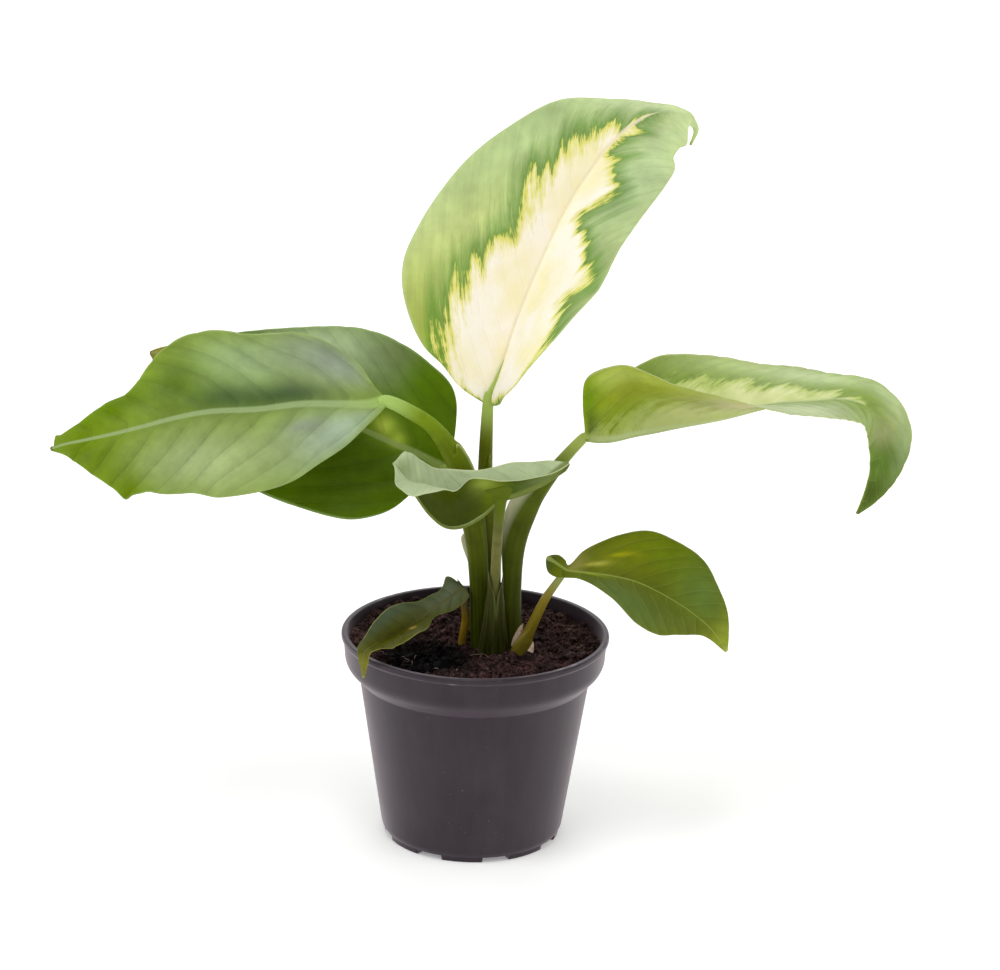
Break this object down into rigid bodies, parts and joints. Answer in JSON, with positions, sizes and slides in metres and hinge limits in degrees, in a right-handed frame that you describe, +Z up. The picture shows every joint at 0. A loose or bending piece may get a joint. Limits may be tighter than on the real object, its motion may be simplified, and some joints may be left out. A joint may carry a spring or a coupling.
{
  "type": "potted dieffenbachia",
  "caption": "Small dieffenbachia house plant with broad variegated leaves on sheathed stalks, rooted in peat in a round tapered plastic nursery pot.",
  "frame": {"origin": "middle of the pot's underside, on the surface that the pot stands on", "axes": "+Z up; +X to the viewer's right, along the spread of the leaves; +Y away from the viewer"},
  "size_m": [0.2819, 0.09, 0.2458],
  "materials": {
    "pot": "grey moulded polypropylene, satin",
    "soil": "dark moist peat, crumbly and matt",
    "pale_leaf": "living leaf, cream and green, waxy",
    "green_leaf": "living leaf, mid green, glossy",
    "dark_leaf": "living leaf, dark green, satin",
    "olive_leaf": "small older leaf, olive green, satin",
    "stalk": "living stalk, green, smooth",
    "dry_stalk": "ageing stalk, amber, smooth"
  },
  "bodies": {
    "root": {"pot": "pot", "potting_soil": "soil", "leaf_upright_stalk": "stalk", "leaf_upright_blade": "pale_leaf", "leaf_left_front_stalk": "stalk", "leaf_left_front_blade": "green_leaf", "leaf_left_back_stalk": "stalk", "leaf_left_back_blade": "dark_leaf", "leaf_right_stalk": "stalk", "leaf_right_blade": "pale_leaf", "leaf_centre_stalk": "stalk", "leaf_centre_blade": "olive_leaf", "leaf_low_right_stalk": "dry_stalk", "leaf_low_right_blade": "olive_leaf", "leaf_low_left_stalk": "dry_stalk", "leaf_low_left_blade": "olive_leaf"}
  },
  "joints": []
}
